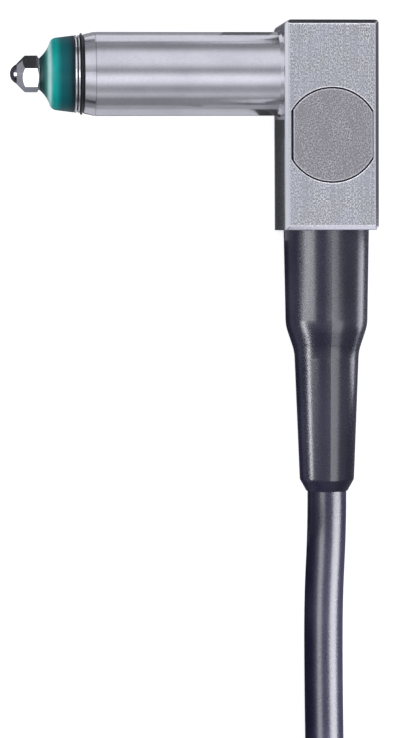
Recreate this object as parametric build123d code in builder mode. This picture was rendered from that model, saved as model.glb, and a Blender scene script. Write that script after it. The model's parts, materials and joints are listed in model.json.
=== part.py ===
from build123d import *
import os
from math import cos, pi, radians, sin, tan

os.makedirs("parts", exist_ok=True)

# Sizes are in millimetres. The stem points along -X and the cable outlet along -Y.
# The housing lies on its back face at Z = 0, and the axes of stem and outlet cross above the origin.

# Fits, all radial or on one side
running_fit = 0.01
seat_fit = 0.02
face_gap = 0.02

# Outlet housing
housing_width = 9.0
housing_depth = 9.0
housing_length = 19.9
stem_to_top = 4.9
front_chamfer = 0.4
back_chamfer = 0.25
stem_corner_radius = 0.6
corner_radius = 0.35
lead_space_radius = 3.0
lead_space_depth = 3.0
cross_hole_radius = 1.0
chamber_radius = 2.8
chamber_to_stem = 7.2
chamber_floor = 2.2
floor_relief_radius = 2.3
floor_relief_depth = 0.9

# Access cover
cover_radius = 4.43
cover_rim = 0.17
cover_left_gap = 0.2
cover_right_gap = 0.03
cover_to_stem = 6.0
cover_thickness = 0.5
cover_spigot_depth = 0.6
cover_gap = 0.1
cover_edge = 0.08

# Clamping stem
stem_radius = 4.0
stem_bore_radius = 3.3
stem_visible = 17.75
stem_shank_radius = 3.8
stem_insert = 4.3
stem_edge = 0.06
root_flare_length = 0.3
root_flare_height = 0.15

# Nose bush, seal ring and clamp rings
nose_length = 1.22
nose_front_radius = 3.78
nose_rim_length = 0.2
nose_rim_radius = 3.64
nose_spigot_length = 1.2
nose_bore_gap = 0.2
boss_radius = 3.2
seal_width = 0.18
seal_radius = 3.89
seal_edge = 0.06
cuff_width = 0.65
cuff_overlap = 0.35
cuff_wall = 0.25
ring_wire_radius = 0.12
ring_setback = 0.19
ring_pitch = 0.32

# Bellows
bellows_length = 3.22
bellows_wall = 0.25
lip_radius = 1.52
lip_gap = 0.05
flare_slope = 39.8
flare_turn = 32.0
flare_radius = 3.13
shoulder_turn = 64.8
shoulder_radius = 0.73
bellows_root_radius = 3.65

# Plunger and what it carries
travel = 1.5
plunger_radius = 1.5
neck_radius = 1.3
neck_length = 0.42
neck_flange = 0.08
collar_width = 1.0
collar_gap = 0.1
key_pin_radius = 0.4
key_slot_gap = 0.03
core_rod_radius = 0.5
core_rod_insert = 1.5
core_spigot_radius = 0.35
ferrite_radius = 0.8
ferrite_length = 4.4

# Contact tip
hex_length = 1.35
hex_across_flats = 3.1
hex_turn = 16.0
tip_cone_length = 0.73
tip_cone_front_radius = 0.98
tip_cone_rear_radius = 1.72
tip_rear_radius = 1.5
tip_rear_chamfer = 0.18
stud_radius = 0.8
stud_length = 3.0
contact_ball_radius = 1.0
contact_ball_seat = 0.36

# Linear ball bearing
guide_ball_radius = 0.4
guide_ball_rows = 4
guide_balls_per_row = 6
guide_row_pitch = 1.3
cage_length = 6.0
cage_gap = 0.12
cage_hole_gap = 0.05
cage_front_gap = 0.3
race_length = 7.3
skirt_radius = 2.7

# Return spring
spring_wire_radius = 0.15
spring_radius = 1.75
spring_turns = 4.0

# Transducer coil
bobbin_length = 8.0
bobbin_flange = 0.5
bobbin_bore_radius = 1.1
bobbin_drum_radius = 1.5
winding_depth = 1.1
shield_wall = 0.4
retainer_width = 1.0
retainer_setback = 0.3
retainer_hole_radius = 1.0

# Leads and terminal board
lead_radius = 0.2
lead_spacing = 0.55
lead_bend = 0.3
leads = 3
board_thickness = 0.6
terminal_radius = 0.25
terminal_spacing = 1.3
terminal_row_offset = 1.0
terminal_row_shift = 0.4
terminal_foot = 0.6
terminal_head = 0.25
coil_lead_step = 0.4
cable_core_pitch = 0.8

# Cable outlet
chamber_to_nipple = 0.85
nipple_radius = 3.0
nipple_spigot_radius = 3.4
nipple_spigot_length = 8.75
nipple_throat_length = 0.6
nipple_throat_gap = 0.1
nipple_rib_height = 0.15
nipple_rib_width = 0.8
crimp_wall = 0.5
crimp_setback = 0.6
boot_length = 25.2
boot_root_radius = 4.12
boot_shoulder_radius = 3.95
boot_shoulder = 9.2
boot_waist_radius = 3.12
boot_waist = 11.7
boot_step_blend = 4.0
boot_end_radius = 2.63
boot_end_taper = 1.1
boot_end_blend = 0.5
boot_mouth_wall = 0.12

# Cable
cable_radius = 1.9
bend_run_share = 0.45
coil_mean_radius = 21.6
coil_columns = 4
coil_rows = 4
coil_centre = (-24.0, -99.0)
tie_wall = 0.6
tie_width = 3.6
tie_gap = 0.15
tie_head = 4.4
tie_head_height = 3.0

# Plug
plug_centre_x = -51.0
plug_rear = -70.0
plug_body_radius = 7.5
plug_body_length = 27.0
plug_body_wall = 1.3
plug_body_edge = 0.8
plug_groove_depth = 0.35
plug_groove_width = 0.9
plug_groove_pitch = 2.4
plug_grooves = 6
plug_boot_length = 12.0
plug_boot_rear_radius = 2.7
plug_boot_front_radius = 4.2
plug_boot_flange = 2.0
plug_boot_flange_radius = 5.4
plug_shell_radius = 6.6
plug_shell_wall = 0.65
plug_shell_step = 0.25
plug_shell_reach = 11.0
plug_shell_insert = 8.0
plug_key_width = 2.0
plug_key_depth = 0.25
plug_insert_length = 5.0
plug_insert_recess = 9.5
plug_pin_radius = 0.725
plug_pin_circle = 3.5
plug_pin_recess = 1.5
plug_pin_chamfer = 0.25
plug_pins_count = 5

# Places along the stem, in X
axis_height = housing_depth / 2
housing_left = -housing_width / 2
stem_front = housing_left - stem_visible
stem_rear = housing_left + stem_insert
cross_hole_x = stem_rear + lead_space_depth / 2
nose_front = stem_front - nose_length
nose_rear = stem_front + nose_spigot_length
seal_front = nose_front - seal_width
cuff_front = seal_front - cuff_width
boss_front = cuff_front - cuff_overlap
lip_front = cuff_front - bellows_length
plunger_front = lip_front - neck_flange
hex_front = plunger_front - hex_length
tip_front = hex_front - tip_cone_length
contact_ball_x = tip_front + contact_ball_seat
race_rear = nose_rear + race_length
collar_front = race_rear + face_gap
collar_rear = collar_front + collar_width
key_pin_x = (collar_front + collar_rear) / 2
retainer_rear = stem_rear - retainer_setback
bobbin_rear = retainer_rear - retainer_width
bobbin_front = bobbin_rear - bobbin_length
ferrite_front = (bobbin_front + bobbin_rear - travel - ferrite_length) / 2

# Radii about the stem's axis
ring_seat_radius = boss_radius + cuff_wall
nose_bore_radius = plunger_radius + nose_bore_gap
race_radius = plunger_radius + 2 * (guide_ball_radius + running_fit)
guide_ball_circle = plunger_radius + guide_ball_radius + running_fit
cage_inner_radius = plunger_radius + cage_gap
cage_outer_radius = race_radius - cage_gap
collar_radius = skirt_radius - collar_gap
inner_seat_radius = stem_bore_radius - seat_fit
shield_bore_radius = inner_seat_radius - shield_wall
bobbin_radius = shield_bore_radius - seat_fit

# Places along the outlet, in Y
housing_top = stem_to_top
housing_bottom = housing_top - housing_length
housing_middle = (housing_top + housing_bottom) / 2
chamber_y = -chamber_to_stem
nipple_top = chamber_y - chamber_radius - chamber_to_nipple
nipple_insert = nipple_top - housing_bottom
spigot_end = housing_bottom - nipple_spigot_length
throat_top = housing_bottom + nipple_throat_length
crimp_top = nipple_top - crimp_setback
crimp_length = crimp_top - throat_top
boot_end = housing_bottom - boot_length
pocket_half_flats = housing_width / 2 - front_chamfer - cover_rim
cover_width = 2 * pocket_half_flats - cover_left_gap - cover_right_gap
cover_floor = housing_depth - cover_thickness

# Places along the plug, in Y
plug_height = plug_body_radius
plug_boot_front = plug_rear + plug_boot_length
plug_body_front = plug_boot_front + plug_body_length
plug_shell_front = plug_body_front + plug_shell_reach
plug_shell_rear = plug_body_front - plug_shell_insert
plug_insert_front = plug_shell_front - plug_insert_recess
plug_insert_rear = plug_insert_front - plug_insert_length
plug_pin_front = plug_shell_front - plug_pin_recess

stem_axis = Axis((0, 0, axis_height), (1, 0, 0))
stem_profile = Plane((0, 0, axis_height), x_dir=(1, 0, 0), z_dir=(0, -1, 0))
outlet_axis = Axis((0, 0, axis_height), (0, 1, 0))
outlet_profile = Plane((0, 0, axis_height), x_dir=(0, 1, 0), z_dir=(1, 0, 0))
plug_axis = Axis((plug_centre_x, 0, plug_height), (0, 1, 0))
plug_profile = Plane((plug_centre_x, 0, plug_height), x_dir=(0, 1, 0), z_dir=(1, 0, 0))


def across_stem(x):
    """The plane square to the stem at x. Extruding from it goes towards the housing."""
    return Plane((x, 0, axis_height), x_dir=(0, 1, 0), z_dir=(1, 0, 0))


def across_outlet(y):
    """The plane square to the outlet at y. Extruding from it goes away from the housing."""
    return Plane((0, y, axis_height), x_dir=(1, 0, 0), z_dir=(0, -1, 0))


def across_plug(y):
    """The plane square to the plug at y. Extruding from it goes towards the plug's pins."""
    return Plane((plug_centre_x, y, plug_height), x_dir=(-1, 0, 0), z_dir=(0, 1, 0))


def ring_sketch(outer_radius, inner_radius):
    """Adds a flat ring to the sketch being made."""
    Circle(outer_radius)
    Circle(inner_radius, mode=Mode.SUBTRACT)


def widest_radii(points):
    """The radius of each corner of a cable's route: as large as its two runs allow."""
    vectors = [Vector(*p) for p in points]
    radii = []
    for before, corner, after in zip(vectors, vectors[1:], vectors[2:]):
        turn = radians((corner - before).get_angle(after - corner))
        shorter = min((corner - before).length, (after - corner).length)
        radii.append(bend_run_share * shorter / tan(turn / 2))
    return radii


def report_route(name, part, path, radii):
    """Prints the route's radii, and its volume beside its section times its length."""
    section = pi * cable_radius**2
    print(name, "length", round(path.length, 2), "radii", [round(r, 1) for r in radii])
    print(name, "volume", round(part.volume, 2), "section times length", round(section * path.length, 2))


# Outlet housing: the block, bored for the stem and the nipple, with the wiring chamber under its cover
with BuildPart() as outlet_housing:
    with BuildSketch(Plane.XY):
        with Locations((0, housing_middle)):
            Rectangle(housing_width, housing_length)
    extrude(amount=housing_depth)
    chamfer(outlet_housing.faces().sort_by(Axis.Z)[-1].edges(), front_chamfer)
    chamfer(outlet_housing.faces().sort_by(Axis.Z)[0].edges(), back_chamfer)
    with BuildSketch(Plane.XY) as outline:
        with Locations((0, housing_middle)):
            Rectangle(housing_width, housing_length)
        corners = outline.vertices().group_by(Axis.X)
        fillet(corners[0].sort_by(Axis.Y)[-1], stem_corner_radius)
        fillet(outline.vertices().group_by(Axis.X)[-1], corner_radius)
    extrude(amount=housing_depth, mode=Mode.INTERSECT)
    with BuildSketch(across_stem(housing_left)):
        Circle(stem_shank_radius + seat_fit)
    extrude(amount=stem_insert, mode=Mode.SUBTRACT)
    with BuildSketch(across_stem(stem_rear)):
        Circle(lead_space_radius)
    extrude(amount=lead_space_depth, mode=Mode.SUBTRACT)
    with BuildSketch(Plane.XY.offset(cover_floor)):
        with Locations((0, -cover_to_stem)):
            Circle(cover_radius + cover_gap)
            Rectangle(2 * pocket_half_flats, 4 * cover_radius, mode=Mode.INTERSECT)
    extrude(amount=cover_thickness, mode=Mode.SUBTRACT)
    with BuildSketch(Plane.XY.offset(chamber_floor)):
        with Locations((0, chamber_y)):
            Circle(chamber_radius)
    extrude(amount=cover_floor - chamber_floor, mode=Mode.SUBTRACT)
    with BuildSketch(Plane.XY.offset(chamber_floor)):
        with Locations((0, chamber_y)):
            Circle(floor_relief_radius)
    extrude(amount=-floor_relief_depth, mode=Mode.SUBTRACT)
    with BuildSketch(across_outlet(0)):
        with Locations((cross_hole_x, 0)):
            Circle(cross_hole_radius)
    extrude(amount=chamber_to_stem - terminal_row_shift, mode=Mode.SUBTRACT)
    with BuildSketch(across_outlet(housing_bottom)):
        Circle(nipple_radius + seat_fit)
    extrude(amount=-nipple_insert, mode=Mode.SUBTRACT)
    with BuildSketch(across_outlet(nipple_top)):
        Circle(nipple_radius - crimp_wall - seat_fit)
    extrude(amount=nipple_top - chamber_y, mode=Mode.SUBTRACT)
outlet_housing.part.label = "outlet_housing"
export_step(outlet_housing.part, "parts/outlet_housing.step")

# Access cover: a disc with two flats, held square by the spigot that fits the wiring chamber
with BuildPart() as access_cover:
    with BuildSketch(Plane.XY.offset(cover_floor)):
        with Locations((0, -cover_to_stem)):
            Circle(cover_radius)
        with Locations(((cover_left_gap - cover_right_gap) / 2, -cover_to_stem)):
            Rectangle(cover_width, 4 * cover_radius, mode=Mode.INTERSECT)
    extrude(amount=cover_thickness)
    chamfer(access_cover.faces().sort_by(Axis.Z)[-1].edges(), cover_edge)
    with BuildSketch(Plane.XY.offset(cover_floor)):
        with Locations((0, chamber_y)):
            Circle(chamber_radius - seat_fit)
    extrude(amount=-cover_spigot_depth)
access_cover.part.label = "access_cover"
export_step(access_cover.part, "parts/access_cover.step")

# Clamping stem: the ground tube that a stand clamps, flared at its root, with a shank in the housing
with BuildPart() as clamping_stem:
    with BuildSketch(across_stem(stem_front)):
        ring_sketch(stem_radius, stem_bore_radius)
    extrude(amount=stem_visible)
    with BuildSketch(across_stem(housing_left)):
        ring_sketch(stem_shank_radius, stem_bore_radius)
    extrude(amount=stem_insert)
    with BuildSketch(stem_profile):
        Polygon(
            (housing_left - root_flare_length, stem_radius),
            (housing_left, stem_radius + root_flare_height),
            (housing_left, stem_bore_radius),
            (housing_left - root_flare_length, stem_bore_radius),
            align=None,
        )
    revolve(axis=stem_axis)
    front_rims = clamping_stem.faces().sort_by(Axis.X)[0].edges()
    chamfer(front_rims.sort_by(SortBy.RADIUS)[-1], stem_edge)
clamping_stem.part.label = "clamping_stem"
export_step(clamping_stem.part, "parts/clamping_stem.step")

# Nose bush: a tapered collar between a spigot in the stem and a boss for the bellows
with BuildPart() as nose_bush:
    with BuildSketch(stem_profile):
        Polygon(
            (boss_front, nose_bore_radius),
            (boss_front, boss_radius),
            (nose_front, boss_radius),
            (nose_front, nose_rim_radius),
            (nose_front + nose_rim_length, nose_front_radius),
            (stem_front - stem_edge, stem_radius),
            (stem_front, stem_radius - stem_edge),
            (stem_front, inner_seat_radius),
            (nose_rear, inner_seat_radius),
            (nose_rear, nose_bore_radius),
            align=None,
        )
    revolve(axis=stem_axis)
nose_bush.part.label = "nose_bush"
export_step(nose_bush.part, "parts/nose_bush.step")

# Seal ring: it closes the joint between the bellows' cuff and the nose bush
with BuildPart() as seal_ring:
    with BuildSketch(across_stem(seal_front)):
        ring_sketch(seal_radius, boss_radius + running_fit)
    extrude(amount=seal_width)
    chamfer(seal_ring.edges().filter_by(GeomType.CIRCLE).sort_by(SortBy.RADIUS)[-2:], seal_edge)
seal_ring.part.label = "seal_ring"
export_step(seal_ring.part, "parts/seal_ring.step")

# Bellows: a flared rubber skin with a lip on the plunger's neck and a cuff on the nose's boss
with BuildPart() as bellows:
    with BuildSketch(stem_profile):
        with BuildLine():
            flare_start = (cos(radians(flare_slope)), sin(radians(flare_slope)))
            flare = JernArc((lip_front, lip_radius), flare_start, flare_radius, flare_turn)
            shoulder = JernArc(flare @ 1, flare % 1, shoulder_radius, -shoulder_turn)
            Line(shoulder @ 1, (cuff_front, bellows_root_radius))
            offset(amount=bellows_wall, side=Side.RIGHT)
        make_face()
    revolve(axis=stem_axis)
    with BuildSketch(across_stem(boss_front)):
        ring_sketch(ring_seat_radius, boss_radius + running_fit)
    extrude(amount=seal_front - boss_front)
    with BuildSketch(across_stem(lip_front)):
        Circle(neck_radius + lip_gap)
    extrude(amount=neck_length, both=True, mode=Mode.SUBTRACT)
bellows.part.label = "bellows"
export_step(bellows.part, "parts/bellows.step")

# Clamp rings: two rings of steel wire round the cuff
with BuildPart() as clamp_rings:
    for ring_x in (cuff_front + ring_setback, cuff_front + ring_setback + ring_pitch):
        with BuildSketch(stem_profile):
            with Locations((ring_x, ring_seat_radius + ring_wire_radius)):
                Circle(ring_wire_radius)
        revolve(axis=stem_axis)
clamp_rings.part.label = "clamp_rings"
export_step(clamp_rings.part, "parts/clamp_rings.step")

# Plunger: the measuring shaft, with a neck for the bellows, a bore for the tip and one for the core rod
with BuildPart() as plunger:
    with BuildSketch(stem_profile):
        Polygon(
            (plunger_front, 0),
            (plunger_front, plunger_radius),
            (lip_front - face_gap, plunger_radius),
            (lip_front - face_gap, neck_radius),
            (lip_front + neck_length, neck_radius),
            (lip_front + neck_length, plunger_radius),
            (collar_rear, plunger_radius),
            (collar_rear, 0),
            align=None,
        )
    revolve(axis=stem_axis)
    with BuildSketch(across_stem(plunger_front)):
        Circle(stud_radius + seat_fit)
    extrude(amount=stud_length + face_gap, mode=Mode.SUBTRACT)
    with BuildSketch(across_stem(collar_rear)):
        Circle(core_rod_radius + seat_fit)
    extrude(amount=-core_rod_insert - face_gap, mode=Mode.SUBTRACT)
plunger.part.label = "plunger"
export_step(plunger.part, "parts/plunger.step")

# Contact tip: a hexagon cut back by a cone at the front and a chamfer at the rear, with a stud
with BuildPart() as contact_tip:
    with BuildSketch(across_stem(tip_front)):
        RegularPolygon(hex_across_flats / 2, 6, major_radius=False, rotation=hex_turn)
    extrude(amount=plunger_front - tip_front)
    cone_slope = (tip_cone_rear_radius - tip_cone_front_radius) / tip_cone_length
    with BuildSketch(stem_profile):
        Polygon(
            (tip_front, 0),
            (tip_front, tip_cone_front_radius),
            (hex_front + tip_rear_chamfer, tip_cone_rear_radius + cone_slope * tip_rear_chamfer),
            (plunger_front - tip_rear_chamfer, tip_cone_rear_radius + cone_slope * tip_rear_chamfer),
            (plunger_front, tip_rear_radius),
            (plunger_front, 0),
            align=None,
        )
    revolve(axis=stem_axis, mode=Mode.INTERSECT)
    with BuildSketch(across_stem(plunger_front)):
        Circle(stud_radius)
    extrude(amount=stud_length)
    with Locations((contact_ball_x, 0, axis_height)):
        Sphere(contact_ball_radius + running_fit, mode=Mode.SUBTRACT)
contact_tip.part.label = "contact_tip"
export_step(contact_tip.part, "parts/contact_tip.step")

# Contact ball: it is pressed into the tip's cup
with BuildPart() as contact_ball:
    with Locations((contact_ball_x, 0, axis_height)):
        Sphere(contact_ball_radius)
contact_ball.part.label = "contact_ball"
export_step(contact_ball.part, "parts/contact_ball.step")

# Guide bush: the ball race in front, and behind it a skirt with an open slot for the key pin
with BuildPart() as guide_bush:
    with BuildSketch(across_stem(nose_rear)):
        ring_sketch(inner_seat_radius, race_radius)
    extrude(amount=race_length)
    with BuildSketch(across_stem(race_rear)):
        ring_sketch(inner_seat_radius, skirt_radius)
    extrude(amount=bobbin_front - race_rear)
    with BuildSketch(across_stem(race_rear)):
        with Locations((0, stem_bore_radius / 2)):
            Rectangle(2 * (key_pin_radius + key_slot_gap), stem_bore_radius)
    extrude(amount=bobbin_front - race_rear, mode=Mode.SUBTRACT)
guide_bush.part.label = "guide_bush"
export_step(guide_bush.part, "parts/guide_bush.step")

# Where the guide balls sit, as angles about the stem's axis and places along it
ball_rows = []
for row in range(guide_ball_rows):
    middle_row = (guide_ball_rows - 1) / 2
    row_x = nose_rear + cage_front_gap + cage_length / 2 + (row - middle_row) * guide_row_pitch
    ball_rows.append((row_x, 180 / guide_balls_per_row * (row % 2)))

# Ball cage: a thin tube with a hole for each ball, staggered from row to row
with BuildPart() as ball_cage:
    with BuildSketch(across_stem(nose_rear + cage_front_gap)):
        ring_sketch(cage_outer_radius, cage_inner_radius)
    extrude(amount=cage_length)
    for row_x, row_turn in ball_rows:
        with Locations(across_stem(row_x)):
            with PolarLocations(0, guide_balls_per_row, start_angle=row_turn):
                Cylinder(
                    guide_ball_radius + cage_hole_gap,
                    race_radius,
                    rotation=(0, 90, 0),
                    align=(Align.CENTER, Align.CENTER, Align.MIN),
                    mode=Mode.SUBTRACT,
                )
ball_cage.part.label = "ball_cage"
export_step(ball_cage.part, "parts/ball_cage.step")

# Guide balls: they roll between the plunger and the race
with BuildPart() as guide_balls:
    for row_x, row_turn in ball_rows:
        with Locations(across_stem(row_x)):
            with PolarLocations(guide_ball_circle, guide_balls_per_row, start_angle=row_turn):
                Sphere(guide_ball_radius)
guide_balls.part.label = "guide_balls"
export_step(guide_balls.part, "parts/guide_balls.step")

# Stop collar: the plunger's end stop, drilled for the key pin
with BuildPart() as stop_collar:
    with BuildSketch(across_stem(collar_front)):
        ring_sketch(collar_radius, plunger_radius + running_fit)
    extrude(amount=collar_width)
    with BuildSketch(Plane.XY.offset(axis_height)):
        with Locations((key_pin_x, 0)):
            Circle(key_pin_radius + running_fit)
    extrude(amount=skirt_radius, mode=Mode.SUBTRACT)
stop_collar.part.label = "stop_collar"
export_step(stop_collar.part, "parts/stop_collar.step")

# Anti-rotation pin: it stands in the collar and slides in the guide bush's slot
with BuildPart() as anti_rotation_pin:
    with BuildSketch(Plane.XY.offset(axis_height + plunger_radius + face_gap)):
        with Locations((key_pin_x, 0)):
            Circle(key_pin_radius)
    extrude(amount=stem_bore_radius - plunger_radius - 2 * collar_gap)
anti_rotation_pin.part.label = "anti_rotation_pin"
export_step(anti_rotation_pin.part, "parts/anti_rotation_pin.step")

# Return spring: a round-wire coil between the stop collar and the bobbin's front flange
with BuildPart() as return_spring:
    spring_start = collar_rear + face_gap + spring_wire_radius
    spring_height = bobbin_front - face_gap - spring_wire_radius - spring_start
    with BuildLine():
        spring_line = Helix(
            pitch=spring_height / spring_turns,
            height=spring_height,
            radius=spring_radius,
            center=(spring_start, 0, axis_height),
            direction=(1, 0, 0),
        )
    with BuildSketch(Plane(spring_line @ 0, z_dir=spring_line % 0)):
        Circle(spring_wire_radius)
    sweep(is_frenet=True)
return_spring.part.label = "return_spring"
export_step(return_spring.part, "parts/return_spring.step")

# Core rod: from the plunger's rear bore to the ferrite core, with a spigot through the core
with BuildPart() as core_rod:
    with BuildSketch(across_stem(collar_rear - core_rod_insert)):
        Circle(core_rod_radius)
    extrude(amount=ferrite_front - collar_rear + core_rod_insert)
    with BuildSketch(across_stem(ferrite_front)):
        Circle(core_spigot_radius)
    extrude(amount=ferrite_length)
core_rod.part.label = "core_rod"
export_step(core_rod.part, "parts/core_rod.step")

# Ferrite core: a sleeve on the rod's spigot
with BuildPart() as ferrite_core:
    with BuildSketch(across_stem(ferrite_front)):
        ring_sketch(ferrite_radius, core_spigot_radius + running_fit)
    extrude(amount=ferrite_length)
ferrite_core.part.label = "ferrite_core"
export_step(ferrite_core.part, "parts/ferrite_core.step")

# Coil bobbin: a drum with three flanges and a blind bore for the core
bobbin_middle = (bobbin_front + bobbin_rear - bobbin_flange) / 2
flange_places = (bobbin_front, bobbin_middle, bobbin_rear - bobbin_flange)
with BuildPart() as coil_bobbin:
    with BuildSketch(across_stem(bobbin_front)):
        Circle(bobbin_drum_radius)
    extrude(amount=bobbin_length)
    for flange_x in flange_places:
        with BuildSketch(across_stem(flange_x)):
            Circle(bobbin_radius)
        extrude(amount=bobbin_flange)
    with BuildSketch(across_stem(bobbin_front)):
        Circle(bobbin_bore_radius)
    extrude(amount=bobbin_length - bobbin_flange, mode=Mode.SUBTRACT)
coil_bobbin.part.label = "coil_bobbin"
export_step(coil_bobbin.part, "parts/coil_bobbin.step")

# Coil windings: one on each half of the drum
with BuildPart() as coil_windings:
    for flange_x, next_flange_x in zip(flange_places, flange_places[1:]):
        with BuildSketch(across_stem(flange_x + bobbin_flange + face_gap)):
            ring_sketch(bobbin_drum_radius + winding_depth, bobbin_drum_radius + running_fit)
        extrude(amount=next_flange_x - flange_x - bobbin_flange - 2 * face_gap)
coil_windings.part.label = "coil_windings"
export_step(coil_windings.part, "parts/coil_windings.step")

# Coil shield: a magnetic sleeve round the bobbin
with BuildPart() as coil_shield:
    with BuildSketch(across_stem(bobbin_front + face_gap)):
        ring_sketch(inner_seat_radius, shield_bore_radius)
    extrude(amount=bobbin_length - face_gap)
coil_shield.part.label = "coil_shield"
export_step(coil_shield.part, "parts/coil_shield.step")

# Coil retainer: the ring that is screwed in behind the coil, with a hole for the leads
with BuildPart() as coil_retainer:
    with BuildSketch(across_stem(bobbin_rear)):
        ring_sketch(inner_seat_radius, retainer_hole_radius)
    extrude(amount=retainer_width)
coil_retainer.part.label = "coil_retainer"
export_step(coil_retainer.part, "parts/coil_retainer.step")

# Terminals: two rows of three, on the board that sits on the chamber's ledge
coil_row_y = chamber_y + terminal_row_offset - terminal_row_shift
cable_row_y = chamber_y - terminal_row_offset - terminal_row_shift
terminal_columns = (-terminal_spacing, 0, terminal_spacing)
terminal_places = [(x, y) for y in (coil_row_y, cable_row_y) for x in terminal_columns]
terminal_bottom = chamber_floor - terminal_foot
terminal_top = axis_height + terminal_head

# Terminal board
with BuildPart() as terminal_board:
    with BuildSketch(Plane.XY.offset(chamber_floor)):
        with Locations((0, chamber_y)):
            Circle(chamber_radius - seat_fit)
        with Locations(*terminal_places):
            Circle(terminal_radius + running_fit, mode=Mode.SUBTRACT)
    extrude(amount=board_thickness)
terminal_board.part.label = "terminal_board"
export_step(terminal_board.part, "parts/terminal_board.step")

# Terminal pins
with BuildPart() as terminal_pins:
    with BuildSketch(Plane.XY.offset(terminal_bottom)):
        with Locations(*terminal_places):
            Circle(terminal_radius)
    extrude(amount=terminal_top - terminal_bottom)
terminal_pins.part.label = "terminal_pins"
export_step(terminal_pins.part, "parts/terminal_pins.step")

# Coil leads: through the retainer, round to the cross hole and out to the first row of terminals
with BuildPart() as coil_leads:
    cross_hole_mouth = chamber_y + chamber_radius
    for lead in range(leads):
        aside = (lead - 1) * lead_spacing
        down = cross_hole_mouth - running_fit - (lead + 1) * coil_lead_step
        with BuildLine():
            lead_line = FilletPolyline(
                (bobbin_rear + face_gap, aside, axis_height),
                (cross_hole_x + aside, aside, axis_height),
                (cross_hole_x + aside, down, axis_height),
                (terminal_columns[lead], down - coil_lead_step, axis_height),
                (terminal_columns[lead], coil_row_y + terminal_radius, axis_height),
                radius=lead_bend,
            )
        with BuildSketch(Plane(lead_line @ 0, z_dir=lead_line % 0)):
            Circle(lead_radius)
        sweep(path=lead_line)
coil_leads.part.label = "coil_leads"
export_step(coil_leads.part, "parts/coil_leads.step")

# Cable cores: from the stripped end of the cable to the second row of terminals
with BuildPart() as cable_cores:
    for lead in range(leads):
        near_x = (lead - 1) * cable_core_pitch
        with BuildSketch(across_outlet(nipple_top)):
            with Locations((near_x, 0)):
                Circle(lead_radius)
        with BuildSketch(across_outlet(cable_row_y - terminal_radius)):
            with Locations((terminal_columns[lead], 0)):
                Circle(lead_radius)
        loft()
        with BuildSketch(across_outlet(nipple_top)):
            with Locations((near_x, 0)):
                Circle(lead_radius)
        extrude(amount=nipple_top - crimp_top)
cable_cores.part.label = "cable_cores"
export_step(cable_cores.part, "parts/cable_cores.step")

# Cable nipple: its shank is seated in the housing, and its ribbed spigot carries the boot
rib_front = (housing_bottom + spigot_end) / 2 - nipple_rib_width
with BuildPart() as cable_nipple:
    with BuildSketch(across_outlet(nipple_top)):
        Circle(nipple_radius)
    extrude(amount=nipple_insert)
    with BuildSketch(across_outlet(housing_bottom)):
        Circle(nipple_spigot_radius)
    extrude(amount=nipple_spigot_length)
    with BuildSketch(across_outlet(rib_front)):
        Circle(nipple_spigot_radius + nipple_rib_height)
    extrude(amount=nipple_rib_width)
    with BuildSketch(across_outlet(nipple_top)):
        Circle(nipple_radius - crimp_wall)
    extrude(amount=nipple_top - throat_top, mode=Mode.SUBTRACT)
    with BuildSketch(across_outlet(throat_top)):
        Circle(cable_radius + nipple_throat_gap)
    extrude(amount=throat_top - spigot_end, mode=Mode.SUBTRACT)
cable_nipple.part.label = "cable_nipple"
export_step(cable_nipple.part, "parts/cable_nipple.step")

# Crimp sleeve: it is squeezed on the cable's jacket and can't pass the nipple's throat
with BuildPart() as crimp_sleeve:
    with BuildSketch(across_outlet(crimp_top)):
        ring_sketch(nipple_radius - crimp_wall - running_fit, cable_radius + running_fit)
    extrude(amount=crimp_length)
crimp_sleeve.part.label = "crimp_sleeve"
export_step(crimp_sleeve.part, "parts/crimp_sleeve.step")

# Strain relief: a boot with a wide root over the nipple, a step, and a long taper to the cable
with BuildPart() as strain_relief:
    with BuildSketch(outlet_profile):
        with BuildLine():
            outside = FilletPolyline(
                (housing_bottom, boot_root_radius),
                (housing_bottom - boot_shoulder, boot_shoulder_radius),
                (housing_bottom - boot_waist, boot_waist_radius),
                (boot_end + boot_end_taper, boot_end_radius),
                (boot_end, cable_radius + boot_mouth_wall),
                radius=[boot_step_blend, boot_step_blend, boot_end_blend],
            )
            Polyline(outside @ 1, (boot_end, 0), (housing_bottom, 0), outside @ 0)
        make_face()
    revolve(axis=outlet_axis)
    with BuildSketch(across_outlet(housing_bottom)):
        Circle(nipple_spigot_radius + seat_fit)
    extrude(amount=nipple_spigot_length + face_gap, mode=Mode.SUBTRACT)
    with BuildSketch(across_outlet(rib_front)):
        Circle(nipple_spigot_radius + nipple_rib_height + seat_fit)
    extrude(amount=nipple_rib_width, mode=Mode.SUBTRACT)
    with BuildSketch(across_outlet(spigot_end)):
        Circle(cable_radius + seat_fit)
    extrude(amount=spigot_end - boot_end, mode=Mode.SUBTRACT)
strain_relief.part.label = "strain_relief"
export_step(strain_relief.part, "parts/strain_relief.step")

# Cable entry: the straight stretch that the crimp sleeve, nipple and boot hold
with BuildPart() as cable_entry:
    with BuildSketch(across_outlet(crimp_top)):
        Circle(cable_radius)
    extrude(amount=crimp_top - boot_end)
cable_entry.part.label = "cable_entry"
export_step(cable_entry.part, "parts/cable_entry.step")

# Cable coil: the outer shape of the put-away turns, lying on the underside of their tie
coil_width = 2 * cable_radius * coil_columns
coil_height = 2 * cable_radius * coil_rows
coil_plane = Plane((*coil_centre, 0), x_dir=(1, 0, 0), z_dir=(0, -1, 0))
coil_axis = Axis((*coil_centre, 0), (0, 0, 1))
with BuildPart() as cable_coil:
    with BuildSketch(coil_plane):
        with Locations((coil_mean_radius, tie_wall + coil_height / 2)):
            RectangleRounded(coil_width, coil_height, cable_radius)
    revolve(axis=coil_axis)
cable_coil.part.label = "cable_coil"
export_step(cable_coil.part, "parts/cable_coil.step")

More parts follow.
